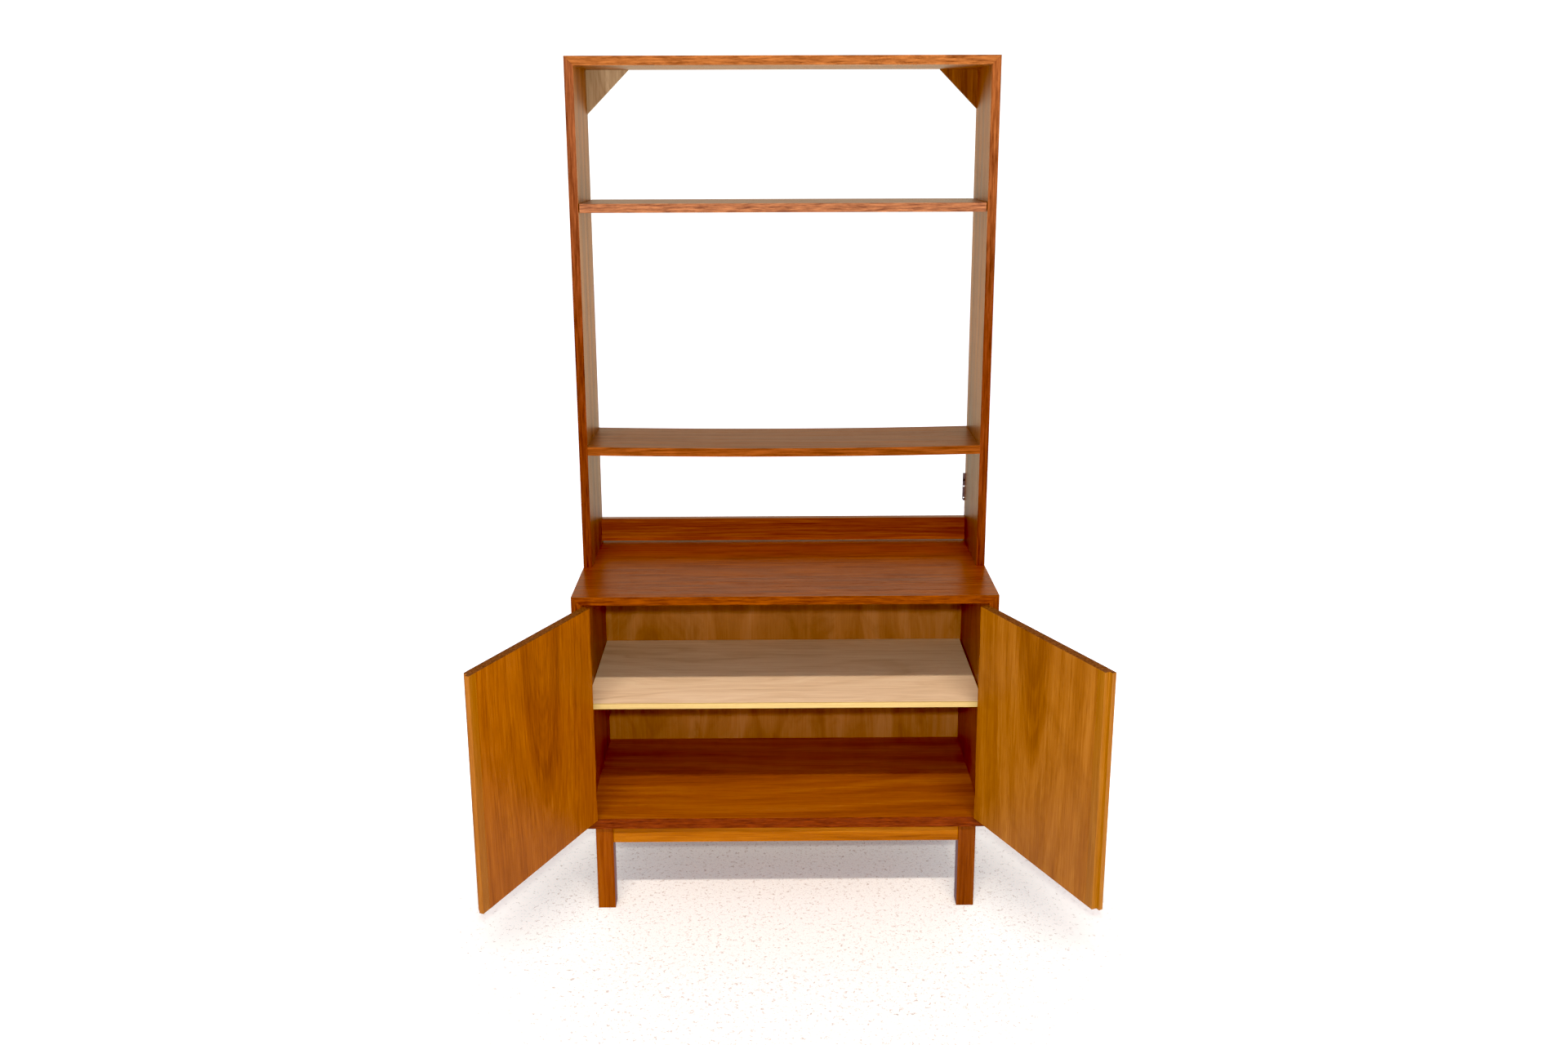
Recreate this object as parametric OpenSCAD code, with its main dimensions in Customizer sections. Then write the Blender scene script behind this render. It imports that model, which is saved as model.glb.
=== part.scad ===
// Open bookcase standing on a two-door cabinet with a frame of four square legs.
// X runs to the right, Y to the back, Z up; the origin is on the floor, centred under the cabinet.
// Both doors are drawn swung open about their hinge pins.

/* [Part to draw] */
// Name of one piece, or all of them

/* [Cabinet] */
// Width of the cabinet and of the bookcase on it
body_w = 900; // [700:5:1200]
// Depth of the cabinet, front edge to back edge
cab_d = 445; // [350:5:550]
// Height of the cabinet's top face above the floor
cab_h = 730; // [600:1:900]
// Height of the cabinet's underside above the floor
leg_h = 198; // [100:1:300]
// Thickness of the cabinet's top board
top_t = 18; // [15:0.5:25]
// Thickness of the cabinet's side boards
side_t = 20; // [15:0.5:25]
// Thickness of the cabinet's bottom board
bottom_t = 24; // [15:0.5:30]
// Thickness of the back panel
back_t = 6; // [3:0.5:10]
// Setback of the back panel from the cabinet's rear edges
back_set = 4; // [2:0.5:12]
// Depth of the grooves that hold the back panel
groove = 6; // [3:0.5:10]

/* [Cabinet shelf] */
// Height of the shelf's top face above the floor
cshelf_z = 480; // [280:1:650]
// Thickness of the shelf
cshelf_t = 12; // [9:0.5:22]
// Distance from the cabinet's front edges back to the shelf
cshelf_set = 26; // [22:1:60]
// Depth of the pale strip along the shelf's front edge
lipping = 5; // [3:0.5:12]
// Gap at the shelf's left end
cshelf_gap_l = 0.5; // [0.5:0.1:3]
// Gap at the shelf's right end
cshelf_gap_r = 2.5; // [0.5:0.1:4]

/* [Bookcase] */
// Height of the bookcase above the cabinet
case_h = 1094; // [700:1:1300]
// Depth of the bookcase, flush with the cabinet's back
case_d = 224; // [180:1:300]
// Thickness of the bookcase's boards
case_t = 19; // [15:0.5:25]
// Height of the lower shelf's top face above the cabinet
shelf1_z = 275; // [150:1:500]
// Height of the upper shelf's top face above the cabinet
shelf2_z = 797; // [500:1:1000]
// How far the lower shelf has sagged at mid-span
sag = 4.5; // [0:0.5:8]
// Gap at each end of the loose upper shelf
shelf_gap = 2; // [0.5:0.5:3]
// Gap under the back rail
rail_gap = 4; // [0:0.5:30]
// Height of the back rail
rail_h = 54; // [36:0.5:90]
// Leg length of the left corner block
block_l = 94; // [50:1:140]
// Leg length of the right corner block
block_r = 84; // [50:1:140]
// Thickness of the corner blocks
block_t = 12; // [6:1:20]

/* [Doors] */
// Angle that each door stands open
door_open = 114; // [0:1:170]
// Thickness of the doors
door_t = 20; // [16:0.5:25]
// Gap between the doors and the bottom board
door_gap_low = 1.5; // [1:0.5:4]
// Gap between the doors and the top board
door_gap_high = 3; // [1:0.5:4]
// Gap at the hinge edge and between the closed doors
door_gap = 1.5; // [1:0.5:3]
// Distance of the outer seam from the middle, to the left
seam_outer = 8; // [0:1:20]
// Width of the shaped strip along each door's free edge
strip_w = 22; // [15:1:40]
// Depth of the outer half of the lap, from the door's face
lap_t = 9.5; // [7:0.5:12]
// Gap inside the lap
lap_gap = 1; // [0.5:0.5:2]
// Bevel on the left door's free edge, which forms the finger groove
bevel = 4; // [1:0.5:8]

/* [Hinges] */
// Length of each butt hinge
hinge_h = 56; // [40:1:80]
// Height of the lower hinge above the door's bottom edge
hinge_low = 48; // [30:1:90]
// Distance of the upper hinge below the door's top edge
hinge_high = 57; // [30:1:90]
// Width of a hinge leaf, measured from the pin
leaf_w = 19.5; // [14:0.5:20]
// Thickness of a hinge leaf
leaf_t = 1.8; // [1:0.1:2.5]
// Outside radius of the knuckles
knuckle_r = 2.5; // [2:0.1:4]
// Radius of the hinge pin
pin_r = 1.2; // [0.8:0.05:2]
// Distance of the pin's axis in front of the cabinet's face
pin_out = 1.5; // [1:0.1:3]

/* [Leg frame] */
// Side of the square legs
leg_w = 38; // [25:1:60]
// Setback of the legs from the cabinet's sides
leg_in_x = 32; // [0:1:80]
// Setback of the legs from the cabinet's front and back
leg_in_y = 10; // [0:1:60]
// Height of the frame's rails
frame_h = 39; // [25:1:70]
// Thickness of the frame's rails
frame_t = 20; // [15:1:30]
// Setback of the rails from the legs' outer faces
frame_in = 2; // [0:0.5:8]

/* [Hidden] */
$fn = 48;
TEAK = [0.62, 0.33, 0.14];
DARK_TEAK = [0.5, 0.25, 0.1];
HONEY = [0.68, 0.42, 0.17];
BIRCH = [0.86, 0.74, 0.55];
PLY = [0.72, 0.54, 0.32];
BEECH = [0.8, 0.62, 0.42];
STEEL = [0.55, 0.54, 0.52];
BRASS = [0.62, 0.5, 0.28];

front_y = -cab_d / 2;
back_y = cab_d / 2;
half_w = body_w / 2;
inner_x = half_w - side_t;
cab_z0 = leg_h;
floor_z = cab_z0 + bottom_t;
roof_z = cab_h - top_t;
total_h = cab_h + case_h;
case_x = half_w - case_t;
case_y = back_y - case_d;
fit = 0.05;

// Back panel
panel_y1 = back_y - back_set;
panel_y0 = panel_y1 - back_t;

// Shelf pegs
peg_r = 2.5;
peg_len = 16;
peg_inset = 30;
cabinet_peg_inset = 50;
notch_gap = 0.3;

// Dowels
dowel_r = 4;
dowel_len = 30;
dowel_in_side = 10;
shelf_dowel_inset = 35;
shelf_dowel_ys = [case_y + shelf_dowel_inset, case_y + case_d / 2, back_y - shelf_dowel_inset];
rail_dowel_inset = 13;
rail_dowel_zs = [cab_h + rail_gap + rail_dowel_inset, cab_h + rail_gap + rail_h - rail_dowel_inset];
peg_dowel_r = 5;
peg_dowel_len = 24;
peg_dowel_in_top = 10;
locating_inset = 45;
locating_ys = [case_y + locating_inset, back_y - locating_inset];

// Hinges and doors
pin_x = inner_x - door_gap / 2;
pin_y = front_y - pin_out;
door_z0 = floor_z + door_gap_low;
door_z1 = roof_z - door_gap_high;
hinge_zs = [door_z0 + hinge_low, door_z1 - hinge_high - hinge_h];
knuckles = 5;
knuckle_gap = 0.3;
knuckle_step = hinge_h / knuckles;
clear_r = knuckle_r + 0.4;
pocket = 3;
pocket_end = 1.5;
pin_head_r = 2.2;
pin_head_t = 1;
screw_inset = 8;
screw_zs = [screw_inset, hinge_h / 2, hinge_h - screw_inset];
screw_y = 12.5;
screw_head_r = 2.8;
screw_head_t = 0.8;
slot_w = 0.6;
slot_t = 0.4;
screw_r = 1.5;
screw_len = 14;

// Where each layer of the closed doors ends, measured from its own pin
left_outer_w = pin_x - seam_outer - door_gap / 2;
left_inner_w = pin_x - door_gap / 2;
right_outer_w = pin_x + seam_outer - door_gap / 2;
right_inner_w = pin_x - door_gap / 2;
edge_bevel = 1;

// Leg frame
leg_x1 = half_w - leg_in_x;
leg_x0 = leg_x1 - leg_w;
leg_y1 = back_y - leg_in_y;
leg_y0 = leg_y1 - leg_w;
frame_z = leg_h - frame_h;
tenon_l = 12;
tenon_t = 10;
tenon_h = 27;
tenon_off = frame_in + (frame_t - tenon_t) / 2;
frame_screw_xs = [-200, 200];

// Hanger plate
plate_w = 22;
plate_t = 2;
plate_z0 = cab_h + 94;
plate_z1 = cab_h + 161;
plate_x0 = case_x - 5.2;
plate_corner = 5;
plate_screw_x = half_w - case_t / 2;
plate_screw_zs = [plate_z0 + 12, plate_z0 + 34, plate_z1 - 11];
plate_screw_len = 16;
plate_head_t = 1.4;
plate_slot_w = 0.7;
plate_slot_t = 0.6;
nail_hole_r = 1.6;
nail_hole_in = 3;
nail_hole_zs = [plate_z0 + 7, plate_z0 + 35];

// ---- Helpers ----

// A box between two opposite corners.
module board(low, high) {
    translate(low)
        cube(high - low);
}

// An outline in the X-Z plane, made solid from y0 to y1.
module upright(points, y0, y1) {
    translate([0, y1, 0])
        rotate([90, 0, 0])
            linear_extrude(height = y1 - y0)
                polygon(points);
}

// A round rod that starts at p and runs along +X, +Y or +Z.
module rod(p, axis, r, len) {
    turn = axis == "x" ? [0, 90, 0] : axis == "y" ? [-90, 0, 0] : [0, 0, 0];
    translate(p)
        rotate(turn)
            cylinder(h = len, r = r);
}

// Draws what is modelled for the left side on the given side.
module on_side(s) {
    if (s < 0)
        children();
    else
        mirror([1, 0, 0])
            children();
}

// Places what is modelled about a hinge pin at the left door's pin.
module at_pin() {
    translate([-pin_x, pin_y, 0])
        children();
}

// Swings what is modelled as a closed left door, about its pin.
module swung() {
    at_pin()
        rotate([0, 0, -door_open])
            children();
}

// ---- Bookcase ----

module bookcase_top() {
    color(TEAK)
        upright([[-half_w, total_h], [half_w, total_h],
            [case_x, total_h - case_t], [-case_x, total_h - case_t]],
            case_y, back_y);
}

module case_side_blank() {
    upright([[-half_w, cab_h], [-case_x, cab_h],
        [-case_x, total_h - case_t], [-half_w, total_h]], case_y, back_y);
}

// Left-hand side board with the holes for its dowels and pegs.
module case_side() {
    difference() {
        case_side_blank();
        shelf_dowel_rods(fit);
        rail_dowel_rods(fit);
        locating_rods(fit);
        upper_peg_rods(fit);
    }
}

module bookcase_left_side() {
    color(TEAK)
        case_side();
}

module bookcase_right_side() {
    color(TEAK)
        difference() {
            on_side(1)
                case_side();
            for (z = plate_screw_zs)
                rod([plate_screw_x, back_y - plate_screw_len, z], "y", screw_r + fit,
                    plate_screw_len + 1);
        }
}

// Pegs under the upper shelf, sunk in notches in its ends.
upper_peg_z = cab_h + shelf2_z - case_t + peg_r;
upper_peg_ys = [case_y + peg_inset, back_y - peg_inset];

module upper_peg_rods(grow = 0) {
    for (y = upper_peg_ys)
        rod([-case_x - peg_len / 2, y, upper_peg_z], "x", peg_r + grow, peg_len);
}

module upper_shelf_pegs() {
    color(STEEL)
        for (s = [-1, 1])
            on_side(s)
                upper_peg_rods();
}

module bookcase_upper_shelf() {
    z1 = cab_h + shelf2_z;
    end_x = case_x - shelf_gap;
    color(TEAK)
        difference() {
            board([-end_x, case_y, z1 - case_t], [end_x, back_y, z1]);
            for (s = [-1, 1])
                on_side(s)
                    for (y = upper_peg_ys)
                        board([-case_x, y - peg_r - notch_gap, z1 - case_t - 1],
                            [-case_x + peg_len / 2 + 1, y + peg_r + notch_gap, upper_peg_z + peg_r]);
        }
}

// The lower shelf is dowelled into the sides and has sagged a little.
function sagged(x) = -sag * (1 - pow(x / case_x, 2));

module bookcase_lower_shelf() {
    z1 = cab_h + shelf1_z;
    steps = 24;
    xs = [for (i = [0:steps]) case_x * (2 * i / steps - 1)];
    color(TEAK)
        difference() {
            upright(concat([for (x = xs) [x, z1 + sagged(x)]],
                [for (i = [steps:-1:0]) [xs[i], z1 - case_t + sagged(xs[i])]]),
                case_y, back_y);
            for (s = [-1, 1])
                on_side(s)
                    shelf_dowel_rods(fit);
        }
}

module shelf_dowel_rods(grow = 0) {
    for (y = shelf_dowel_ys)
        rod([-case_x - dowel_in_side, y, cab_h + shelf1_z - case_t / 2], "x",
            dowel_r + grow, dowel_len);
}

module lower_shelf_dowels() {
    color(BEECH)
        for (s = [-1, 1])
            on_side(s)
                shelf_dowel_rods();
}

module bookcase_back_rail() {
    z0 = cab_h + rail_gap;
    color(DARK_TEAK)
        difference() {
            board([-case_x, back_y - case_t, z0], [case_x, back_y, z0 + rail_h]);
            for (s = [-1, 1])
                on_side(s)
                    rail_dowel_rods(fit);
        }
}

module rail_dowel_rods(grow = 0) {
    for (z = rail_dowel_zs)
        rod([-case_x - dowel_in_side, back_y - case_t / 2, z], "x",
            dowel_r + grow, dowel_len);
}

module back_rail_dowels() {
    color(BEECH)
        for (s = [-1, 1])
            on_side(s)
                rail_dowel_rods();
}

// Dowels that keep the bookcase in its place on the cabinet.
module locating_rods(grow = 0) {
    for (y = locating_ys)
        rod([-half_w + case_t / 2, y, cab_h - peg_dowel_in_top], "z",
            peg_dowel_r + grow, peg_dowel_len);
}

module bookcase_locating_dowels() {
    color(BEECH)
        for (s = [-1, 1])
            on_side(s)
                locating_rods();
}

// Triangular board behind a top corner.
module corner_block(leg) {
    z = total_h - case_t;
    color(DARK_TEAK)
        upright([[-case_x, z], [-case_x, z - leg], [-case_x + leg, z]],
            back_y - block_t, back_y);
}

module left_corner_block() {
    corner_block(block_l);
}

module right_corner_block() {
    on_side(1)
        corner_block(block_r);
}

// Steel plate on the rear edge of the right side, past its inner face.
module hanger_plate() {
    x1 = plate_x0 + plate_w;
    y1 = back_y + plate_t;
    color(STEEL)
        difference() {
            union() {
                board([plate_x0, back_y, plate_z0 + plate_corner], [x1, y1, plate_z1]);
                board([plate_x0 + plate_corner, back_y, plate_z0],
                    [x1 - plate_corner, y1, plate_z0 + plate_corner]);
                for (x = [plate_x0 + plate_corner, x1 - plate_corner])
                    rod([x, back_y, plate_z0 + plate_corner], "y", plate_corner, plate_t);
            }
            for (z = plate_screw_zs)
                rod([plate_screw_x, back_y - 1, z], "y", screw_r + fit, plate_t + 2);
            for (z = nail_hole_zs)
                rod([plate_x0 + nail_hole_in, back_y - 1, z], "y", nail_hole_r, plate_t + 2);
        }
}

module hanger_plate_screws() {
    color(STEEL)
        for (z = plate_screw_zs)
            difference() {
                union() {
                    rod([plate_screw_x, back_y - plate_screw_len, z], "y", screw_r,
                        plate_screw_len + plate_t);
                    rod([plate_screw_x, back_y + plate_t, z], "y", screw_head_r, plate_head_t);
                }
                board([plate_screw_x - screw_head_r - 1,
                        back_y + plate_t + plate_head_t - plate_slot_t, z - plate_slot_w / 2],
                    [plate_screw_x + screw_head_r + 1,
                        back_y + plate_t + plate_head_t + 1, z + plate_slot_w / 2]);
            }
}

// ---- Cabinet box: four mitred boards ----

module panel_groove() {
    board([-inner_x - groove, panel_y0, floor_z - groove],
        [inner_x + groove, panel_y1, roof_z + groove]);
}

module cabinet_top() {
    color(TEAK)
        difference() {
            upright([[-half_w, cab_h], [half_w, cab_h], [inner_x, roof_z], [-inner_x, roof_z]],
                front_y, back_y);
            panel_groove();
            for (s = [-1, 1])
                on_side(s)
                    locating_rods(fit);
        }
}

module cabinet_side() {
    difference() {
        upright([[-half_w, cab_z0], [-inner_x, floor_z], [-inner_x, roof_z], [-half_w, cab_h]],
            front_y, back_y);
        panel_groove();
        locating_rods(fit);
        cabinet_peg_rods(fit);
        for (z = hinge_zs)
            at_pin()
                translate([0, 0, z])
                    side_mortise();
    }
}

module cabinet_left_side() {
    color(TEAK)
        cabinet_side();
}

module cabinet_right_side() {
    color(TEAK)
        on_side(1)
            cabinet_side();
}

module cabinet_bottom() {
    color(DARK_TEAK)
        difference() {
            upright([[-half_w, cab_z0], [half_w, cab_z0], [inner_x, floor_z], [-inner_x, floor_z]],
                front_y, back_y);
            panel_groove();
            frame_screw_rods(fit);
        }
}

module cabinet_back_panel() {
    color(PLY)
        panel_groove();
}

// ---- Adjustable shelf in the cabinet ----

cshelf_x0 = -inner_x + cshelf_gap_l;
cshelf_x1 = inner_x - cshelf_gap_r;
cshelf_y0 = front_y + cshelf_set;
cshelf_y1 = panel_y0 - 1;
cabinet_peg_z = cshelf_z - cshelf_t + peg_r;
cabinet_peg_ys = [cshelf_y0 + cabinet_peg_inset, cshelf_y1 - cabinet_peg_inset];

module cabinet_peg_rods(grow = 0) {
    for (y = cabinet_peg_ys)
        rod([-inner_x - peg_len / 2, y, cabinet_peg_z], "x", peg_r + grow, peg_len);
}

module cabinet_shelf_pegs() {
    color(STEEL)
        for (s = [-1, 1])
            on_side(s)
                cabinet_peg_rods();
}

module cabinet_shelf() {
    color(BIRCH)
        difference() {
            board([cshelf_x0, cshelf_y0 + lipping, cshelf_z - cshelf_t],
                [cshelf_x1, cshelf_y1, cshelf_z]);
            for (s = [-1, 1])
                on_side(s)
                    for (y = cabinet_peg_ys)
                        board([-inner_x, y - peg_r - notch_gap, cshelf_z - cshelf_t - 1],
                            [-inner_x + peg_len / 2 + 1, y + peg_r + notch_gap, cabinet_peg_z + peg_r]);
        }
}

module cabinet_shelf_lipping() {
    color(BIRCH)
        board([cshelf_x0, cshelf_y0, cshelf_z - cshelf_t],
            [cshelf_x1, cshelf_y0 + lipping, cshelf_z]);
}

// ---- Leg frame: legs with mortises, rails with tenons ----

// Mortises are cut where the rails' tenons go.
module leg(sx, sy) {
    scale_x = sx < 0 ? -1 : 1;
    scale_y = sy < 0 ? -1 : 1;
    x = [scale_x * leg_x0, scale_x * leg_x1];
    y = [scale_y * leg_y0, scale_y * leg_y1];
    color(HONEY)
        difference() {
            board([min(x), min(y), 0], [max(x), max(y), leg_h]);
            long_tenons(sy);
            short_tenons(sx);
        }
}

module front_left_leg() {
    leg(-1, -1);
}

module front_right_leg() {
    leg(1, -1);
}

module rear_left_leg() {
    leg(-1, 1);
}

module rear_right_leg() {
    leg(1, 1);
}

// Tenons of the front (sy < 0) or the rear rail, right across.
module long_tenons(sy) {
    y = sy * (leg_y1 - tenon_off - tenon_t / 2);
    z = frame_z + (frame_h - tenon_h) / 2;
    board([-leg_x0 - tenon_l, y - tenon_t / 2, z], [leg_x0 + tenon_l, y + tenon_t / 2, z + tenon_h]);
}

module long_rail(sy) {
    y = sy * (leg_y1 - frame_in - frame_t / 2);
    color(HONEY)
        difference() {
            union() {
                board([-leg_x0, y - frame_t / 2, frame_z], [leg_x0, y + frame_t / 2, leg_h]);
                long_tenons(sy);
            }
            frame_screw_rods(fit);
        }
}

module front_frame_rail() {
    long_rail(-1);
}

module rear_frame_rail() {
    long_rail(1);
}

module short_tenons(sx) {
    x = sx * (leg_x1 - tenon_off - tenon_t / 2);
    z = frame_z + (frame_h - tenon_h) / 2;
    board([x - tenon_t / 2, -leg_y0 - tenon_l, z], [x + tenon_t / 2, leg_y0 + tenon_l, z + tenon_h]);
}

module short_rail(sx) {
    x = sx * (leg_x1 - frame_in - frame_t / 2);
    color(HONEY)
        difference() {
            union() {
                board([x - frame_t / 2, -leg_y0, frame_z], [x + frame_t / 2, leg_y0, leg_h]);
                short_tenons(sx);
            }
            frame_screw_rods(fit);
        }
}

module left_frame_rail() {
    short_rail(-1);
}

module right_frame_rail() {
    short_rail(1);
}

// Screws that go up through the rails into the cabinet's bottom board.
long_rail_y = leg_y1 - frame_in - frame_t / 2;
short_rail_x = leg_x1 - frame_in - frame_t / 2;
frame_screw_at = concat(
    [for (x = frame_screw_xs, s = [-1, 1]) [x, s * long_rail_y]],
    [for (s = [-1, 1]) [s * short_rail_x, 0]]);
frame_screw_z = frame_z + 14;
frame_screw_r = 2.2;
frame_screw_head_r = 4;
frame_screw_head_t = 3;
frame_screw_bite = 16;
frame_slot_w = 1;
frame_slot_t = 1.2;

module frame_screw_rods(grow = 0) {
    for (p = frame_screw_at) {
        rod([p[0], p[1], frame_screw_z], "z", frame_screw_r + grow,
            leg_h + frame_screw_bite - frame_screw_z);
        if (grow > 0)
            rod([p[0], p[1], frame_z - 1], "z", frame_screw_head_r + 0.5,
                frame_screw_z + 1 - frame_z);
    }
}

module leg_frame_screws() {
    color(STEEL) {
        frame_screw_rods();
        for (p = frame_screw_at)
            difference() {
                rod([p[0], p[1], frame_screw_z - frame_screw_head_t], "z",
                    frame_screw_head_r, frame_screw_head_t);
                board([p[0] - frame_screw_head_r - 1, p[1] - frame_slot_w / 2,
                        frame_screw_z - frame_screw_head_t - 1],
                    [p[0] + frame_screw_head_r + 1, p[1] + frame_slot_w / 2,
                        frame_screw_z - frame_screw_head_t + frame_slot_t]);
            }
    }
}

// ---- Butt hinges, modelled about the pin's axis with the door closed ----

// Recess for one leaf and its knuckles in the cabinet's side; depth is how far back it goes.
module side_mortise(depth = leaf_w) {
    board([-door_gap / 2 - leaf_t, 0, 0], [0, depth, hinge_h]);
    board([-door_gap / 2 - pocket, 0, -pocket_end], [0, clear_r + 0.2, hinge_h + pocket_end]);
    for (z = screw_zs)
        rod([-door_gap / 2 - screw_len, screw_y, z], "x", screw_r + fit, screw_len);
}

// A leaf on the side's face; first is the lowest of its knuckles.
module leaf(first) {
    x0 = -door_gap / 2 - leaf_t;
    difference() {
        union() {
            board([x0, clear_r, 0], [-door_gap / 2, leaf_w, hinge_h]);
            for (i = [first:2:knuckles - 1]) {
                z0 = i * knuckle_step + (i > 0 ? knuckle_gap / 2 : 0);
                z1 = (i + 1) * knuckle_step - (i < knuckles - 1 ? knuckle_gap / 2 : 0);
                rod([0, 0, z0], "z", knuckle_r, z1 - z0);
                board([x0, 0, z0], [-door_gap / 2, clear_r + 1, z1]);
            }
        }
        rod([0, 0, -1], "z", pin_r + fit, hinge_h + 2);
        for (z = screw_zs) {
            rod([x0 - 1, screw_y, z], "x", screw_r + fit, leaf_t + 2);
            rod([-door_gap / 2 - screw_head_t, screw_y, z], "x", screw_head_r + fit, 2);
        }
    }
}

module leaf_screws() {
    for (z = screw_zs)
        difference() {
            union() {
                rod([-door_gap / 2 - screw_len, screw_y, z], "x", screw_r,
                    screw_len - screw_head_t);
                rod([-door_gap / 2 - screw_head_t, screw_y, z], "x", screw_head_r, screw_head_t);
            }
            board([-door_gap / 2 - slot_t, screw_y - screw_head_r - 1, z - slot_w / 2],
                [0, screw_y + screw_head_r + 1, z + slot_w / 2]);
        }
}

module cabinet_hinge_leaves() {
    color(BRASS)
        for (s = [-1, 1], z = hinge_zs)
            on_side(s)
                at_pin()
                    translate([0, 0, z])
                        leaf(0);
}

module cabinet_hinge_screws() {
    color(BRASS)
        for (s = [-1, 1], z = hinge_zs)
            on_side(s)
                at_pin()
                    translate([0, 0, z])
                        leaf_screws();
}

module hinge_pins() {
    color(BRASS)
        for (s = [-1, 1], z = hinge_zs)
            on_side(s)
                at_pin()
                    translate([0, 0, z]) {
                        cylinder(h = hinge_h, r = pin_r);
                        for (end = [-pin_head_t, hinge_h])
                            translate([0, 0, end])
                                cylinder(h = pin_head_t, r = pin_head_r);
                    }
}

// ---- Doors, modelled closed about the left pin ----

// The hinge recesses run right through to the door's inner face.
module door_panel(free_w) {
    difference() {
        board([door_gap / 2, pin_out, door_z0], [free_w - strip_w, pin_out + door_t, door_z1]);
        for (z = hinge_zs)
            translate([0, 0, z])
                mirror([1, 0, 0])
                    side_mortise(pin_out + door_t + 1);
    }
}

// Strip along the free edge; its outer and inner halves end at different widths.
module meeting_strip(outer_w, inner_w, step, cut) {
    x0 = inner_w - strip_w;
    y0 = pin_out;
    y1 = pin_out + door_t;
    translate([0, 0, door_z0])
        linear_extrude(height = door_z1 - door_z0)
            polygon([[x0, y0], [outer_w - cut, y0], [outer_w, y0 + cut],
                [outer_w, y0 + step], [inner_w, y0 + step], [inner_w, y1], [x0, y1]]);
}

module door_leaves() {
    for (z = hinge_zs)
        translate([0, 0, z])
            mirror([1, 0, 0])
                leaf(1);
}

module door_screws() {
    for (z = hinge_zs)
        translate([0, 0, z])
            mirror([1, 0, 0])
                leaf_screws();
}

module left_door_panel() {
    color(HONEY)
        swung()
            door_panel(left_inner_w);
}

module left_door_meeting_strip() {
    color(TEAK)
        swung()
            meeting_strip(left_outer_w, left_inner_w, lap_t + lap_gap, bevel);
}

module left_door_hinge_leaves() {
    color(BRASS)
        swung()
            door_leaves();
}

module left_door_hinge_screws() {
    color(BRASS)
        swung()
            door_screws();
}

module right_door_panel() {
    color(HONEY)
        on_side(1)
            swung()
                door_panel(right_inner_w);
}

module right_door_meeting_strip() {
    color(TEAK)
        on_side(1)
            swung()
                meeting_strip(right_outer_w, right_inner_w, lap_t, edge_bevel);
}

module right_door_hinge_leaves() {
    color(BRASS)
        on_side(1)
            swung()
                door_leaves();
}

module right_door_hinge_screws() {
    color(BRASS)
        on_side(1)
            swung()
                door_screws();
}

bookcase_top();
bookcase_left_side();
bookcase_right_side();
bookcase_upper_shelf();
bookcase_lower_shelf();
bookcase_back_rail();
left_corner_block();
right_corner_block();
upper_shelf_pegs();
lower_shelf_dowels();
back_rail_dowels();
bookcase_locating_dowels();
hanger_plate();
hanger_plate_screws();
cabinet_top();
cabinet_left_side();
cabinet_right_side();
cabinet_bottom();
cabinet_back_panel();
cabinet_shelf();
cabinet_shelf_lipping();
cabinet_shelf_pegs();
front_left_leg();
front_right_leg();
rear_left_leg();
rear_right_leg();
front_frame_rail();
rear_frame_rail();
left_frame_rail();
right_frame_rail();
leg_frame_screws();
cabinet_hinge_leaves();
cabinet_hinge_screws();
hinge_pins();
left_door_panel();
left_door_meeting_strip();
left_door_hinge_leaves();
left_door_hinge_screws();
right_door_panel();
right_door_meeting_strip();
right_door_hinge_leaves();
right_door_hinge_screws();
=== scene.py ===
"""Looks for an open bookcase on a two-door cabinet: oiled teak, pale birch, aged brass and steel."""
import math

import bmesh
import bpy
from mathutils import Matrix, Vector

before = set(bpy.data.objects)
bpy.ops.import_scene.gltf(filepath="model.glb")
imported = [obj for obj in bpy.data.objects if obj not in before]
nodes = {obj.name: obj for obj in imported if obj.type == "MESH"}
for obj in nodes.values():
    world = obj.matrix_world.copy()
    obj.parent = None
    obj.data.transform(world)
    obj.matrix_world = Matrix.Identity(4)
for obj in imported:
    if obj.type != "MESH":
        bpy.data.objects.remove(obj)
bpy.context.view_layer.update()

MM = 0.001
X, Y, Z = Vector((1, 0, 0)), Vector((0, 1, 0)), Vector((0, 0, 1))
DOOR_OPEN = math.radians(114)


# ---- Node helpers ----

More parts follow.
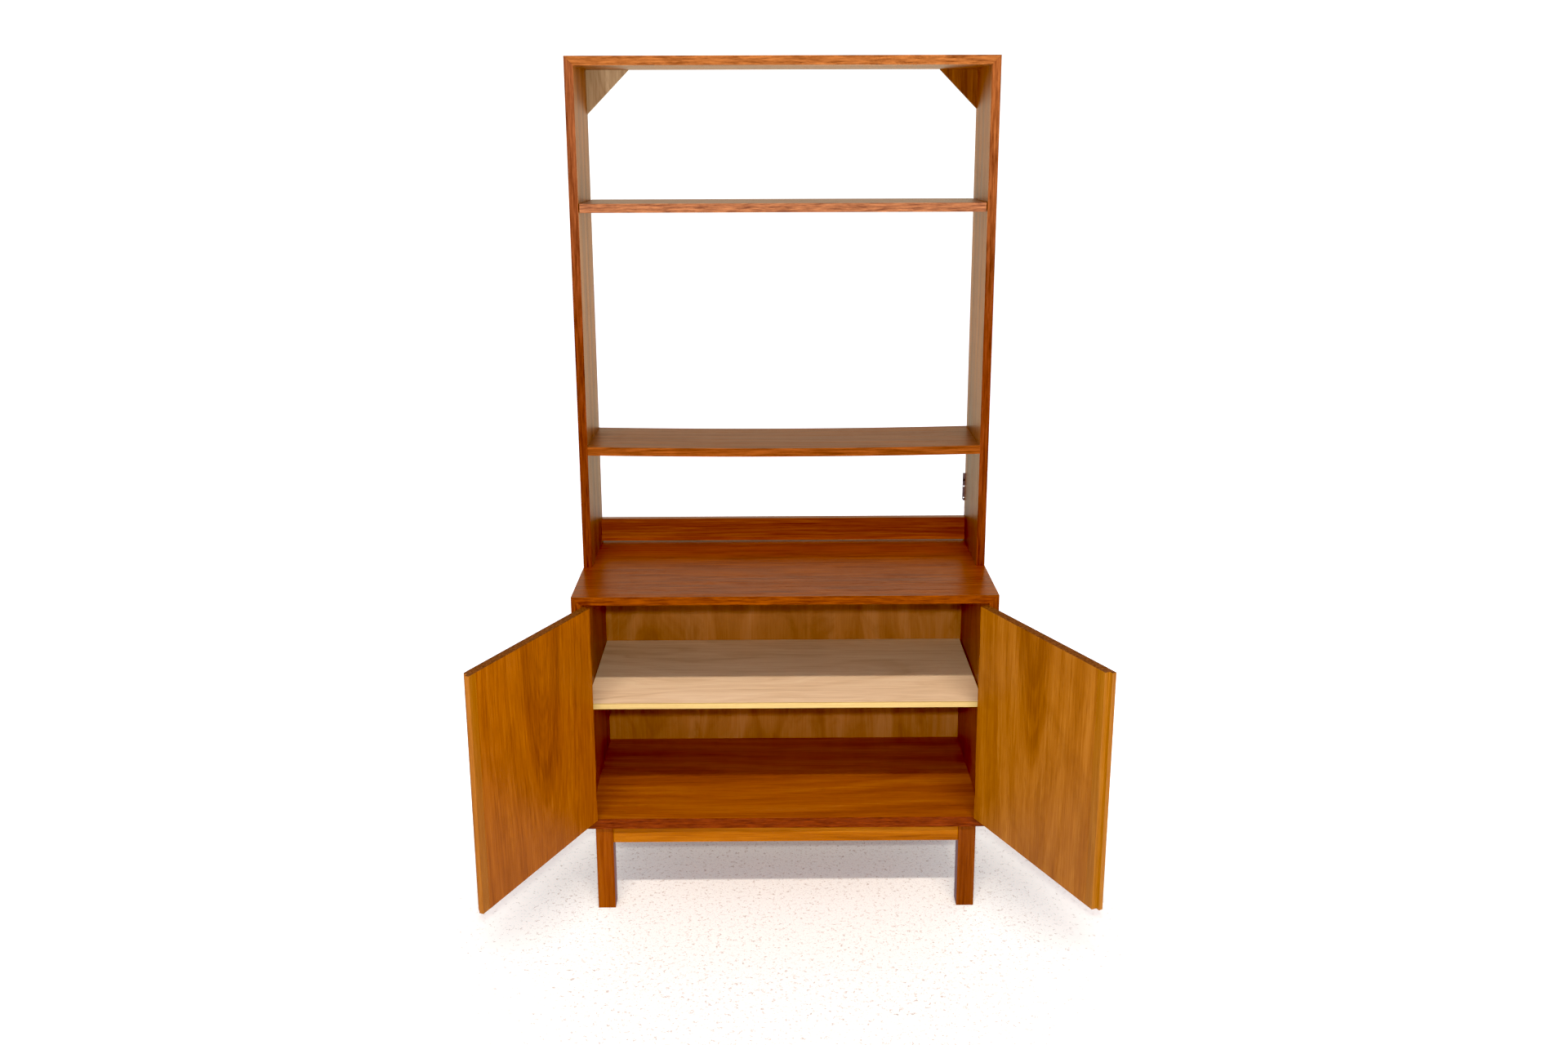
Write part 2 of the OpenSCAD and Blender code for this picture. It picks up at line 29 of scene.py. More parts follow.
class Tree:
    """A material's node tree, with short calls for the nodes used here."""

    def __init__(self, name):
        self.material = bpy.data.materials.new(name)
        self.material.use_nodes = True
        self.nodes = self.material.node_tree.nodes
        self.links = self.material.node_tree.links
        self.nodes.clear()

    def put(self, socket, value):
        """Links another node's output to the socket, or sets it to a plain value; None leaves it."""
        if isinstance(value, bpy.types.NodeSocket):
            self.links.new(value, socket)
        elif value is not None:
            socket.default_value = value

    def add(self, kind, **settings):
        node = self.nodes.new(kind)
        for key, value in settings.items():
            setattr(node, key, value)
        return node

    def math(self, operation, a, b=None, c=None, clamp=False):
        node = self.add("ShaderNodeMath", operation=operation, use_clamp=clamp)
        for socket, value in zip(node.inputs, (a, b, c)):
            self.put(socket, value)
        return node.outputs[0]

    def vector(self, operation, a, b=None):
        node = self.add("ShaderNodeVectorMath", operation=operation)
        self.put(node.inputs[0], a)
        self.put(node.inputs[1], b)
        return node.outputs["Value" if operation in ("DOT_PRODUCT", "LENGTH") else "Vector"]

    def noise(self, where, scale, detail=2.0, roughness=0.5, distortion=0.0):
        node = self.add("ShaderNodeTexNoise")
        self.put(node.inputs["Vector"], where)
        node.inputs["Scale"].default_value = scale
        node.inputs["Detail"].default_value = detail
        node.inputs["Roughness"].default_value = roughness
        node.inputs["Distortion"].default_value = distortion
        return node.outputs["Fac"]

    def spots(self, where, size):
        """Small round spots, one to a cell; size is their radius in cells."""
        node = self.add("ShaderNodeTexVoronoi", feature="F1")
        self.put(node.inputs["Vector"], where)
        node.inputs["Scale"].default_value = 1.0
        return self.spread(node.outputs["Distance"], size, 2.5 * size, 1.0, 0.0)

    def ramp(self, value, stops):
        """Turns a value into a colour; stops are pairs of a place from 0 to 1 and its colour."""
        node = self.add("ShaderNodeValToRGB")
        ramp = node.color_ramp
        while len(ramp.elements) < len(stops):
            ramp.elements.new(0.5)
        for element, (place, colour) in zip(ramp.elements, stops):
            element.position = place
            element.color = (*colour, 1.0)
        self.put(node.inputs["Fac"], value)
        return node.outputs["Color"]

    def spread(self, value, low, high, to_low=0.0, to_high=1.0):
        """Stretches the range from low to high smoothly to the range from to_low to to_high."""
        node = self.add("ShaderNodeMapRange", interpolation_type="SMOOTHSTEP")
        limits = {"From Min": low, "From Max": high, "To Min": to_low, "To Max": to_high}
        for key, number in limits.items():
            node.inputs[key].default_value = number
        self.put(node.inputs["Value"], value)
        return node.outputs["Result"]

    def mix(self, factor, a, b):
        """Colour a where the factor is 0 and colour b where it is 1."""
        node = self.add("ShaderNodeMix", data_type="RGBA", blend_type="MIX")
        self.put(node.inputs["Factor"], factor)
        for key, value in (("A", a), ("B", b)):
            socket = [s for s in node.inputs if s.name == key and s.type == "RGBA"][0]
            self.put(socket, (*value, 1.0) if isinstance(value, tuple) else value)
        return [s for s in node.outputs if s.type == "RGBA"][0]

    def surface(self, colour, roughness, height=None, bump=0.1, glow=None, **fixed):
        """Ends the tree in a shader; bump is its relief's depth in millimetres."""
        shader = self.add("ShaderNodeBsdfPrincipled")
        self.put(shader.inputs["Emission Strength"], glow)
        self.put(shader.inputs["Base Color"], colour)
        self.put(shader.inputs["Roughness"], roughness)
        for key, value in fixed.items():
            shader.inputs[key.replace("_", " ")].default_value = value
        if height is not None:
            node = self.add("ShaderNodeBump")
            node.inputs["Strength"].default_value = 1.0
            node.inputs["Distance"].default_value = bump * MM
            self.put(node.inputs["Height"], height)
            self.put(shader.inputs["Normal"], node.outputs["Normal"])
        out = self.add("ShaderNodeOutputMaterial")
        self.links.new(shader.outputs[0], out.inputs[0])
        return self.material


# ---- Wood ----

# Each timber: the dark, middle and light colours of its faces.
TEAK = dict(dark=(0.090, 0.014, 0.001), mid=(0.182, 0.035, 0.001), light=(0.28, 0.066, 0.002))
SHELF_TEAK = dict(dark=(0.08, 0.018, 0.002), mid=(0.142, 0.037, 0.004), light=(0.214, 0.066, 0.01))
SIDE_TEAK = dict(dark=(0.117, 0.025, 0.003), mid=(0.293, 0.086, 0.011), light=(0.482, 0.181, 0.034))
RED_TEAK = dict(dark=(0.143, 0.0225, 0.00375), mid=(0.276, 0.0575, 0.0075), light=(0.409, 0.119, 0.0225))
CASE_TEAK = dict(dark=(0.118, 0.029, 0.006), mid=(0.289, 0.082, 0.014), light=(0.428, 0.159, 0.034))
HONEY = dict(dark=(0.183, 0.046, 0.003), mid=(0.314, 0.0899, 0.007), light=(0.418, 0.14, 0.015))
LIGHT_HONEY = dict(dark=(0.202, 0.0615, 0.0069), mid=(0.329, 0.117, 0.0138), light=(0.435, 0.179, 0.0288))
STRIP_HONEY = dict(dark=(0.171, 0.050, 0.003), mid=(0.291, 0.098, 0.007), light=(0.393, 0.151, 0.016))
STRIP_GOLD = dict(dark=(0.171, 0.055, 0.004), mid=(0.291, 0.107, 0.009), light=(0.393, 0.165, 0.021))
LEG_TEAK = dict(dark=(0.083, 0.015, 0.001), mid=(0.206, 0.044, 0.001), light=(0.323, 0.087, 0.003))
DARK_LEG = dict(dark=(0.07, 0.012, 0.001), mid=(0.173, 0.037, 0.002), light=(0.27, 0.074, 0.004))
RAIL_TEAK = dict(dark=(0.152, 0.038, 0.001), mid=(0.323, 0.096, 0.002), light=(0.456, 0.163, 0.006))
BIRCH = dict(dark=(0.666, 0.486, 0.297), mid=(0.81, 0.621, 0.416), light=(0.91, 0.746, 0.524))
LIPPING = dict(dark=(0.421, 0.288, 0.106), mid=(0.551, 0.4, 0.154), light=(0.616, 0.484, 0.211))
PLY = dict(dark=(0.241, 0.085, 0.0184), mid=(0.423, 0.166, 0.046), light=(0.567, 0.267, 0.0978))
BLOCK_PLY = dict(dark=(0.184, 0.107, 0.0555), mid=(0.345, 0.226, 0.124), light=(0.485, 0.346, 0.207))
DARK_PLY = dict(dark=(0.103, 0.0281, 0.00286), mid=(0.206, 0.0624, 0.00429), light=(0.318, 0.119, 0.0143))
BEECH = dict(dark=(0.40, 0.24, 0.12), mid=(0.55, 0.37, 0.20), light=(0.66, 0.47, 0.28))
# Colours of solid lippings on front edges, and of the doors' top edges: dark and light.
UPPER_EDGE = ((0.11, 0.0335, 0.0171), (0.405, 0.161, 0.0665))
BRIGHT_EDGE = ((0.12, 0.0307, 0.00664), (0.398, 0.139, 0.0365))
MID_EDGE = ((0.0896, 0.019, 0.0032), (0.283, 0.0773, 0.0144))
PLAIN_EDGE = ((0.0721, 0.0124, 0.0017), (0.237, 0.052, 0.0068))
LEFT_EDGE = ((0.078, 0.017, 0.006), (0.261, 0.084, 0.030))
RIGHT_EDGE = ((0.096, 0.021, 0.006), (0.321, 0.105, 0.030))
# The bookcase sides' front edges low down: darker colours, a painted shade.
SIDE_EDGE_PAINTED_SHADE = ((0.057, 0.008, 0.001), (0.191, 0.041, 0.008))
TOP_EDGE = ((0.075, 0.0137, 0.0011), (0.246, 0.0578, 0.00495))
LOW_EDGE = ((0.064, 0.0085, 0.0005), (0.212, 0.035, 0.002))
DOOR_CORE = ((0.05, 0.014, 0.003), (0.21, 0.072, 0.016))

# Scales of the wood's patterns: features a metre across the grain, and along it.
WARP = (4.0, 1.4)
RIPPLE = (22.0, 6.0)
BROAD = (9.0, 0.8)
FINE = (90.0, 3.2)
HAIR = (480.0, 11.0)
PORE = (1300.0, 36.0)
CLOUD = (13.0, 7.0)
KNOT = (3.1, 1.5)
FLECK = (240.0, 24.0)
# How far each pattern moves a board's tone from the middle, at a strength of 1.
RING_SWING, BROAD_SWING, FINE_SWING, FLECK_SWING = 1.5, 0.5, 0.8, 3.2
# Where the dark, middle and light colours stand in the range of tones.
DARK_AT, MID_AT, LIGHT_AT = 0.12, 0.5, 0.88
# Noise levels at which a pore or a mottle starts to show, and shows fully.
PORE_FROM, PORE_FULL = 0.58, 0.72
MOTTLE_FROM, MOTTLE_FULL = 0.45, 0.68
# Pores show least in streaks darker than the first level, and fully in those lighter than the second.
STREAK_DARK, STREAK_LIGHT, PORE_LEAST = 0.38, 0.62, 0.25
# A knot's radius as a part of its cell, and how strongly it shows.
KNOT_SIZE, KNOT_STRENGTH = 0.02, 0.6
# The heartwood's border, in heart radii: darker up to the first, and no darker from the second.
HEART_FULL, HEART_END, HEART_DARKER = 0.8, 1.15, 0.2
# Tone of a lipping's middle, between its dark colour at 0 and its light one at 1.
FLECK_MIDDLE = 0.55
# The ripple's size as a part of the warp, and how fast the rings change along the grain.
RIPPLE_PART, RING_DRIFT = 0.1, 0.25
# Roughness: how far the streaks move it, and what a pore and a door's core add to it.
ROUGH_SWING, PORE_ROUGHER, CORE_ROUGHER = 0.2, 0.2, 0.5
# Height of the streaks in the relief, where a pore's depth is 1.
STREAK_HEIGHT = 0.35
# How far a face turns towards edge_faces when it starts to count as an edge, and counts fully.
EDGE_FROM, EDGE_FULL = 0.6, 0.75
# Heights on the bookcase's sides from which the painted shade, darker low down, starts to lift, and
# has lifted: the faces' and the edges'.
FACE_LIFT_FROM, FACE_LIFT_FULL = 0.8, 1.6
EDGE_LIFT_FROM, EDGE_LIFT_FULL = 1.2, 1.7


def wood(name, tone, grain, across, seed, edge=None, gloss=0.42, figure=0.8, ring=0.030, slope=0.11,
         depth=0.05, wild=0.06, streak=0.7, lines=0.7, run=1.0, pores=0.45,
         blotch=0.0, knots=None, heart=None, crisp=0.62, shine=0.27, place_shift=0.0, edge_faces=-Y,
         painted_shade_edge=None, painted_shade_low=0.0):
    """Timber with its grain along one axis.

    The year rings are shells about a log's axis that runs nearly along the grain, so a board's face
    cuts them in long arches. Streaks, pores and slow changes of tone lie along the grain as well.
    Lengths are in metres: ring is a year ring's width, slope and depth lay the log's axis behind the
    face, wild bends it, and heart is the radius of the darker heartwood. figure, streak, lines, pores
    and blotch say how strongly each pattern shows, crisp how sharp the rings' finer lines are, and run
    how short a pattern is along the grain. Faces that look along edge_faces take the colours in edge,
    and low down those in painted_shade_edge, a painted shade. painted_shade_low is how far the faces
    turn to the dark colour low down, a painted shade too.
    """
    t = Tree(name)
    out = t.add("ShaderNodeTexCoord")
    place = out.outputs["Object"]
    normal = grain.cross(across)
    a = t.math("ADD", t.vector("DOT_PRODUCT", place, across), place_shift)
    n = t.vector("DOT_PRODUCT", place, normal)
    g = t.vector("DOT_PRODUCT", place, grain)
    board = t.add("ShaderNodeCombineXYZ")
    for socket, value in zip(board.inputs, (a, n, g)):
        t.put(socket, value)
    board = board.outputs[0]

    def along(scale, shift=0.0):
        """The board's own coordinates, stretched so that a pattern is drawn out along the grain."""
        over, down = scale
        stretched = t.vector("MULTIPLY", board, (over, over, down * run))
        return t.vector("ADD", stretched, (seed + shift, shift, seed))

    def swing(value, size):
        return t.math("MULTIPLY", t.math("SUBTRACT", value, 0.5), size)

    warp = swing(t.noise(along(WARP, 3.1), 1.0, detail=2.0), wild)
    ripple = swing(t.noise(along(RIPPLE, 7.7), 1.0, detail=2.0), RIPPLE_PART * wild)
    off_axis = t.add("ShaderNodeCombineXYZ")
    t.put(off_axis.inputs[0], t.math("ADD", a, warp))
    t.put(off_axis.inputs[1], t.math("MULTIPLY_ADD", g, slope, depth))
    arch = t.vector("LENGTH", off_axis.outputs[0])
    radius = t.math("ADD", arch, t.math("ADD", ripple, n))
    shells = t.add("ShaderNodeCombineXYZ")
    t.put(shells.inputs[0], t.math("MULTIPLY_ADD", radius, 1.0 / ring, seed * 5.3))
    t.put(shells.inputs[1], t.math("MULTIPLY", g, RING_DRIFT))
    rings = t.noise(shells.outputs[0], 1.0, detail=4.0, roughness=crisp)

    broad = t.noise(along(BROAD), 1.0, detail=2.0)
    fine = t.noise(along(FINE, 1.7), 1.0, detail=4.0, roughness=0.62)
    hair = t.noise(along(HAIR, 5.2), 1.0, detail=2.0, roughness=0.6)
    value = t.math("ADD", swing(rings, RING_SWING * figure), swing(broad, BROAD_SWING * streak))
    value = t.math("ADD", value, swing(fine, FINE_SWING * streak))
    value = t.math("ADD", value, swing(hair, lines))
    value = t.math("ADD", value, 0.5)
    if heart:
        darker = t.spread(arch, HEART_FULL * heart, HEART_END * heart, HEART_DARKER, 0.0)
        value = t.math("SUBTRACT", value, darker)
    colour = t.ramp(value, [(DARK_AT, tone["dark"]), (MID_AT, tone["mid"]), (LIGHT_AT, tone["light"])])

    # Painted shade: the faces turn towards the dark colour low down, as if less light reached them there.
    if painted_shade_low:
        darker = t.spread(g, FACE_LIFT_FROM, FACE_LIFT_FULL, painted_shade_low, 0.0)
        colour = t.mix(darker, colour, tone["dark"])

    pore = t.spread(t.noise(along(PORE, 9.4), 1.0, detail=1.0), PORE_FROM, PORE_FULL)
    pore = t.math("MULTIPLY", pore, t.spread(fine, STREAK_DARK, STREAK_LIGHT, PORE_LEAST, 1.0))
    colour = t.mix(t.math("MULTIPLY", pore, pores), colour, tone["dark"])
    if blotch:
        cloud = t.noise(along(CLOUD, 4.3), 1.0, detail=5.0, roughness=0.6, distortion=0.7)
        mottle = t.spread(cloud, MOTTLE_FROM, MOTTLE_FULL)
        colour = t.mix(t.math("MULTIPLY", mottle, blotch), colour, tone["dark"])
    if knots:
        spot = t.spots(along(KNOT, 8.8), KNOT_SIZE)
        colour = t.mix(t.math("MULTIPLY", spot, KNOT_STRENGTH), colour, tone[knots])

    if edge:
        facing = t.vector("DOT_PRODUCT", out.outputs["Normal"], edge_faces)
        facing = t.spread(facing, EDGE_FROM, EDGE_FULL)
        flecks = t.noise(along(FLECK, 2.9), 1.0, detail=5.0, roughness=0.72)
        flecks = t.math("ADD", swing(flecks, FLECK_SWING), FLECK_MIDDLE)
        lipping = t.mix(flecks, *edge)
        # Painted shade: low down, the edges take darker colours.
        if painted_shade_edge:
            lifted = t.spread(g, EDGE_LIFT_FROM, EDGE_LIFT_FULL)
            lipping = t.mix(lifted, t.mix(flecks, *painted_shade_edge), lipping)
        colour = t.mix(facing, colour, lipping)

    rough = t.math("ADD", swing(fine, ROUGH_SWING), gloss)
    if edge_faces == Z:
        # A door's top edge is its bare core, so it is rougher than its faces.
        rough = t.math("MULTIPLY_ADD", facing, CORE_ROUGHER, rough)
    rough = t.math("MULTIPLY_ADD", pore, PORE_ROUGHER, rough, clamp=True)
    height = t.math("SUBTRACT", t.math("MULTIPLY", fine, STREAK_HEIGHT), pore)
    return t.surface(colour, rough, height, bump=0.1, Specular_IOR_Level=shine)


# ---- Metal ----

# Features a metre in the tarnish's clouds and spots, and in the scratches.
TARNISH, SPOT, SCRATCH = 60.0, 420.0, (900.0, 900.0, 60.0)
# Noise levels at which each kind of tarnish starts to show, and shows fully.
TARNISH_FROM, TARNISH_FULL = 0.42, 0.68
SPOT_FROM, SPOT_FULL = 0.58, 0.7
# How strongly the spots show, and what tarnish adds to the roughness.
SPOT_STRENGTH, TARNISH_ROUGHER = 0.6, 0.25


def metal(name, bright, dull, roughness, seed):
    """Aged metal: bright, with clouds and spots of dull tarnish, and fine scratches."""
    t = Tree(name)
    place = t.add("ShaderNodeTexCoord").outputs["Object"]
    cloud = t.noise(t.vector("ADD", place, (seed, seed, seed)), TARNISH, detail=5.0, roughness=0.65)
    spots = t.spread(t.noise(place, SPOT, detail=2.0), SPOT_FROM, SPOT_FULL)
    spots = t.math("MULTIPLY", spots, SPOT_STRENGTH)
    tarnish = t.math("MAXIMUM", t.spread(cloud, TARNISH_FROM, TARNISH_FULL), spots)
    colour = t.mix(tarnish, bright, dull)
    rough = t.math("MULTIPLY_ADD", tarnish, TARNISH_ROUGHER, roughness)
    scratches = t.noise(t.vector("MULTIPLY", place, SCRATCH), 1.0, detail=2.0)
    return t.surface(colour, rough, scratches, bump=0.03, Metallic=0.9)


def give(material, *names):
    """Puts a material on CAD nodes."""
    for name in names:
        for slot in nodes[name].material_slots:
            slot.material = material


def along_door(side):
    """Direction from the hinge to the free edge of an open door; side is -1 for the left one."""
    return Vector((-side * math.cos(DOOR_OPEN), -math.sin(DOOR_OPEN), 0))


LEFT_DOOR = (Z, along_door(-1))
RIGHT_DOOR = (Z, along_door(1))
# Options that boards of one kind share.
# The bookcase's sides carry painted shade: their edges are darker low down.
BOOKCASE_SIDE = dict(painted_shade_edge=SIDE_EDGE_PAINTED_SHADE, gloss=0.36, shine=0.11, figure=1.2, ring=0.05,
                     slope=0.03, streak=1.2, lines=1.0, run=0.5)
CORNER_BLOCK = dict(gloss=0.5, ring=0.02, figure=0.8, streak=1.0, wild=0.3)
FRAME = dict(gloss=0.34, slope=0.03)
STRIP = dict(gloss=0.4, figure=0.3, edge=DOOR_CORE, edge_faces=Z)
# Crown-cut veneer: arches that close downwards, with few bands between them.
DOOR_FIGURE = dict(gloss=0.42, shine=0.2, ring=0.034, slope=-0.12, depth=0.125, wild=0.05,
                   crisp=0.85, pores=0.6, knots="dark", edge=DOOR_CORE, edge_faces=Z)

BOARDS = [
    # node, timber, grain, across, options
    ("bookcase_top", SIDE_TEAK, X, Y, dict(edge=BRIGHT_EDGE, gloss=0.36, shine=0.14, lines=1.1)),
    # The bookcase's sides darken low down on their faces: painted shade.
    ("bookcase_left_side", SIDE_TEAK, Z, Y, dict(edge=LEFT_EDGE, painted_shade_low=0.38, **BOOKCASE_SIDE)),
    ("bookcase_right_side", SIDE_TEAK, Z, Y, dict(edge=RIGHT_EDGE, painted_shade_low=0.5, **BOOKCASE_SIDE)),
    ("bookcase_upper_shelf", SHELF_TEAK, X, Y, dict(edge=UPPER_EDGE, gloss=0.4, shine=0.2)),
    ("bookcase_lower_shelf", SHELF_TEAK, X, Y,
     dict(edge=MID_EDGE, gloss=0.38, shine=0.08, ring=0.02, lines=1.2, run=0.5)),
    ("bookcase_back_rail", RED_TEAK, X, Z, dict(gloss=0.38, figure=0.4, streak=0.8, lines=1.3, run=0.8)),
    ("left_corner_block", BLOCK_PLY, Z, X, CORNER_BLOCK),
    ("right_corner_block", DARK_PLY, Z, X, CORNER_BLOCK),
    ("cabinet_top", TEAK, X, Y,
     dict(edge=TOP_EDGE, gloss=0.3, shine=0.08, ring=0.03, slope=0.01, wild=0.0, figure=0.3, streak=0.7,
          lines=2.0, run=0.8)),
    ("cabinet_left_side", CASE_TEAK, Z, Y, dict(edge=PLAIN_EDGE)),
    ("cabinet_right_side", CASE_TEAK, Z, Y, dict(edge=PLAIN_EDGE)),
    ("cabinet_bottom", CASE_TEAK, X, Y,
     dict(edge=LOW_EDGE, figure=0.8, ring=0.07, wild=0.14, streak=0.6, gloss=0.40)),
    ("cabinet_back_panel", PLY, Z, X,
     dict(gloss=0.5, blotch=0.55, pores=0.1, wild=0.35, figure=0.7, streak=0.3, lines=0.3, ring=0.05)),
    ("cabinet_shelf", BIRCH, X, Y,
     dict(gloss=0.5, figure=0.8, pores=0.05, streak=0.8, wild=0.5, slope=0.2, lines=1.0, knots="light")),
    ("cabinet_shelf_lipping", LIPPING, X, Y, dict(gloss=0.45, figure=0.2, pores=0.1, streak=0.5)),
    ("front_left_leg", LEG_TEAK, Z, X, FRAME),
    ("front_right_leg", DARK_LEG, Z, X, FRAME),
    ("rear_left_leg", LEG_TEAK, Z, X, FRAME),
    ("rear_right_leg", LEG_TEAK, Z, X, FRAME),
    ("front_frame_rail", RAIL_TEAK, X, Z, dict(streak=1.0, **FRAME)),
    ("rear_frame_rail", LEG_TEAK, X, Z, FRAME),
    ("left_frame_rail", LEG_TEAK, Y, Z, FRAME),
    ("right_frame_rail", LEG_TEAK, Y, Z, FRAME),
    ("left_door_panel", HONEY, *LEFT_DOOR,
     dict(place_shift=-0.57, figure=0.9, streak=0.6, lines=1.2, blotch=0.25, heart=0.088, **DOOR_FIGURE)),
    ("right_door_panel", LIGHT_HONEY, *RIGHT_DOOR,
     dict(place_shift=-0.58, figure=0.7, streak=0.5, lines=0.9, blotch=0.35, heart=0.07, **DOOR_FIGURE)),
    ("left_door_meeting_strip", STRIP_HONEY, *LEFT_DOOR, STRIP),
    ("right_door_meeting_strip", STRIP_GOLD, *RIGHT_DOOR, STRIP),
    ("lower_shelf_dowels", BEECH, X, Z, dict(gloss=0.6)),
    ("back_rail_dowels", BEECH, X, Z, dict(gloss=0.6)),
    ("bookcase_locating_dowels", BEECH, Z, X, dict(gloss=0.6)),
]
FIRST_SEED, SEED_STEP = 1.7, 0.613
for count, (name, tone, grain, across, options) in enumerate(BOARDS):
    seed = FIRST_SEED + SEED_STEP * count
    give(wood(name + "_wood", tone, grain, across, seed, **options), name)

brass = metal("aged_brass", (0.55, 0.40, 0.17), (0.20, 0.13, 0.06), 0.32, 2.0)
steel = metal("zinc_steel", (0.52, 0.52, 0.53), (0.13, 0.12, 0.11), 0.38, 5.0)
give(brass, *[name for name in nodes if "hinge" in name])
give(steel, "hanger_plate", "hanger_plate_screws", "upper_shelf_pegs", "cabinet_shelf_pegs",
     "leg_frame_screws")


# ---- Softened arrises ----

ARRIS = 0.6 * MM


def soften(name):
    """Rounds a board's sharp edges by a modifier; the mesh itself stays as it is."""
    obj = nodes[name]
    weld = obj.modifiers.new("weld", "WELD")
    weld.merge_threshold = 0.01 * MM
    bevel = obj.modifiers.new("arris", "BEVEL")
    bevel.width = ARRIS
    bevel.segments = 2
    bevel.limit_method = "ANGLE"
    bevel.angle_limit = math.radians(40)
    bevel.use_clamp_overlap = True


for name, *_ in BOARDS:
    soften(name)


# ---- Camera, floor and light ----

# The photo's camera, found by fitting the object's edges: metres, then degrees, then millimetres.
CAMERA_PLACE = (-0.0271, -3.1171, 1.6628)
PAN, TILT_DOWN, ROLL = -0.492, 14.936, -0.17
SENSOR_WIDTH, FOCAL_LENGTH = 36.0, 33.24


def camera():
    """A standing person's view of the object, from just left of its middle."""
    data = bpy.data.cameras.new("camera")
    data.sensor_width = SENSOR_WIDTH
    data.lens = FOCAL_LENGTH
    obj = bpy.data.objects.new("camera", data)
    bpy.context.scene.collection.objects.link(obj)
    turn = (Matrix.Rotation(math.radians(PAN), 4, "Z")
            @ Matrix.Rotation(math.radians(90 - TILT_DOWN), 4, "X")
            @ Matrix.Rotation(math.radians(ROLL), 4, "Z"))
    obj.matrix_world = Matrix.Translation(CAMERA_PLACE) @ turn
    bpy.context.scene.camera = obj


FLOOR_HALF = 14.0
# Distances from the middle of the floor's scuffs at which they start to fade, and end.
FADE_FROM, FADE_TO = 0.45, 1.25
# Noise levels at which a scuff or dust starts to show, and shows fully.
SCUFF_FROM, SCUFF_FULL = 0.535, 0.625
DUST_FROM, DUST_FULL = 0.45, 0.72
FLOOR_PALE, FLOOR_MARK = (0.90, 0.94, 0.95), (0.46, 0.40, 0.36)
SCUFFS_MIDDLE = (0.0, -0.3, 0.0)
# Features a metre in the scuffs and in the dust, and how strongly the dust shows.
SCUFF, DUST, DUST_STRENGTH = 92.0, 230.0, 0.5
# The floor's own glow near the object, and what is added to it far away.
GLOW_NEAR, GLOW_MORE = 0.10, 0.6


def floor():
    """A pale floor, scuffed near the object and plain white far from it."""
    half = FLOOR_HALF
    mesh = bpy.data.meshes.new("floor")
    corners = [(-half, -half, 0), (half, -half, 0), (half, half, 0), (-half, half, 0)]
    mesh.from_pydata(corners, [], [(0, 1, 2, 3)])
    obj = bpy.data.objects.new("floor", mesh)
    bpy.context.scene.collection.objects.link(obj)
    t = Tree("pale_floor")
    place = t.add("ShaderNodeTexCoord").outputs["Object"]
    from_middle = t.vector("LENGTH", t.vector("SUBTRACT", place, SCUFFS_MIDDLE))
    near = t.spread(from_middle, FADE_FROM, FADE_TO, 1.0, 0.0)
    scuffs = t.noise(place, SCUFF, detail=8.0, roughness=0.85, distortion=0.3)
    scuffs = t.spread(scuffs, SCUFF_FROM, SCUFF_FULL)
    dust = t.spread(t.noise(place, DUST, detail=4.0, roughness=0.8), DUST_FROM, DUST_FULL)
    marks = t.math("MULTIPLY", t.math("MULTIPLY_ADD", dust, DUST_STRENGTH, scuffs), near, clamp=True)
    colour = t.mix(marks, FLOOR_PALE, FLOOR_MARK)
    glow = t.math("MULTIPLY_ADD", t.math("SUBTRACT", 1.0, near), GLOW_MORE, GLOW_NEAR)
    material = t.surface(colour, 0.7, glow=glow, Specular_IOR_Level=0.1,
                         Emission_Color=(0.93, 0.94, 1.0, 1.0))
    mesh.materials.append(material)
    obj.visible_glossy = False


BACKDROP_RADIUS, BACKDROP_STRENGTH = 40.0, 1.3


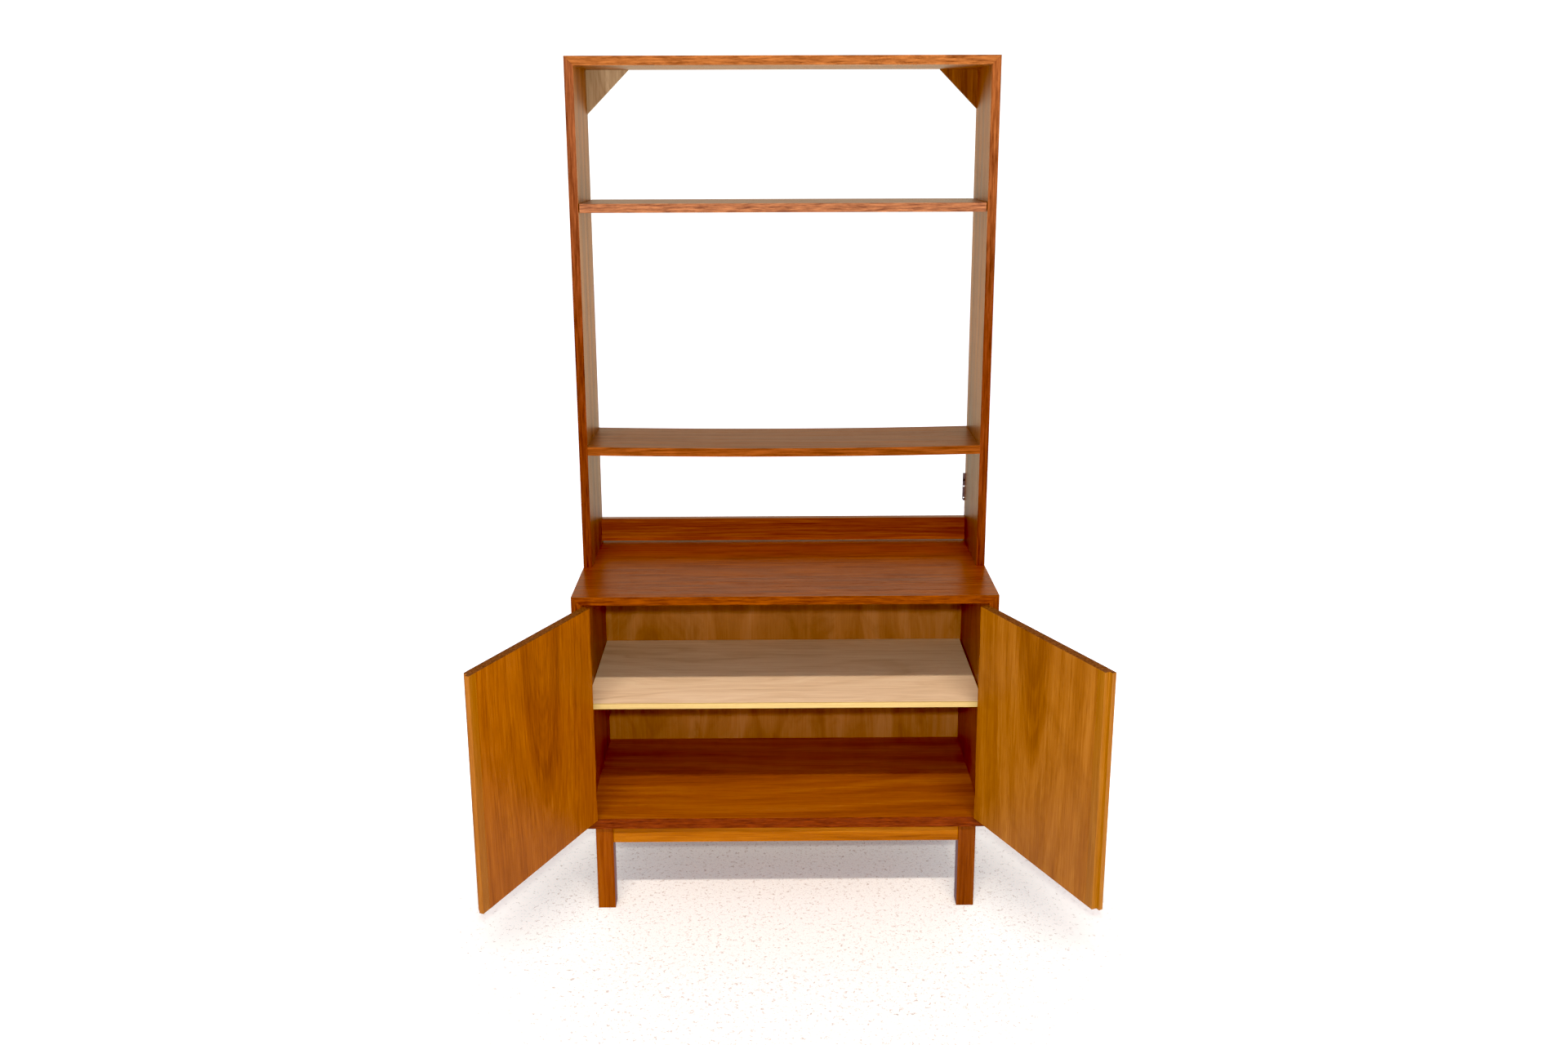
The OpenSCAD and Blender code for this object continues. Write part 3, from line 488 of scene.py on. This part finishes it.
def backdrop():
    """A white shell far outside the scene, so that what lies behind the object is plain white."""
    mesh = bpy.data.meshes.new("backdrop")
    shell = bmesh.new()
    bmesh.ops.create_uvsphere(shell, u_segments=48, v_segments=24, radius=BACKDROP_RADIUS)
    shell.to_mesh(mesh)
    shell.free()
    obj = bpy.data.objects.new("backdrop", mesh)
    bpy.context.scene.collection.objects.link(obj)
    t = Tree("white_backdrop")
    glow = t.add("ShaderNodeEmission")
    glow.inputs["Color"].default_value = (1.0, 1.0, 1.0, 1.0)
    glow.inputs["Strength"].default_value = BACKDROP_STRENGTH
    t.links.new(glow.outputs[0], t.add("ShaderNodeOutputMaterial").inputs[0])
    mesh.materials.append(t.material)
    obj.visible_diffuse = False
    obj.visible_glossy = False
    obj.visible_shadow = False


# Lights: name, place, the point they face, power, width and height, and colour.
LIGHTS = [
    ("near_lens", (-0.03, -3.10, 1.78), (0, 0, 0.75), 52, (0.12, 0.08), (0.975, 0.97, 0.86)),
    ("overhead", (0.0, -9.5, 12.3), (0, -0.2225, 0.73), 1730, (9.0, 0.5), (1.0, 0.845, 0.705)),
    ("white_wall", (0.0, 0.95, 1.8), (0, -1, 1.8), 19.5, (4.0, 2.4), (1.0, 0.91, 0.34)),
]
# Light from all round: its colour and strength.
ROOM_COLOUR, ROOM_STRENGTH = (0.98, 0.93, 1.13, 1.0), 0.475
# Light up to this level is shown as black, which deepens the shadows as in the photo.
BLACK_LEVEL = 0.017


def add_light(name, place, aim, power, size, colour):
    """A soft rectangular light; size is its width and height in metres, power is in watts."""
    data = bpy.data.lights.new(name, "AREA")
    data.shape = "RECTANGLE"
    data.size, data.size_y = size
    data.energy = power
    data.color = colour
    obj = bpy.data.objects.new(name, data)
    obj.location = place
    obj.rotation_euler = (Vector(aim) - Vector(place)).to_track_quat("-Z", "Y").to_euler()
    bpy.context.scene.collection.objects.link(obj)
    return obj


def room():
    """Soft light from all round and from high in front, a small light at the lens, and a white wall.

    The wall stands behind, where the camera doesn't see it: glossy boards seen at a slant reflect it.
    """
    world = bpy.data.worlds.new("room")
    world.use_nodes = True
    back = world.node_tree.nodes["Background"]
    back.inputs["Color"].default_value = ROOM_COLOUR
    back.inputs["Strength"].default_value = ROOM_STRENGTH
    bpy.context.scene.world = world
    lights = {light[0]: add_light(*light) for light in LIGHTS}
    lights["white_wall"].visible_camera = False
    # The small light's image in the boards would glare when they are seen from behind.
    lights["near_lens"].visible_glossy = False
    view = bpy.context.scene.view_settings
    view.view_transform = "Standard"
    view.look = "None"
    view.use_curve_mapping = True
    view.curve_mapping.black_level = (BLACK_LEVEL, BLACK_LEVEL, BLACK_LEVEL)
    view.curve_mapping.update()


camera()
floor()
backdrop()
room()
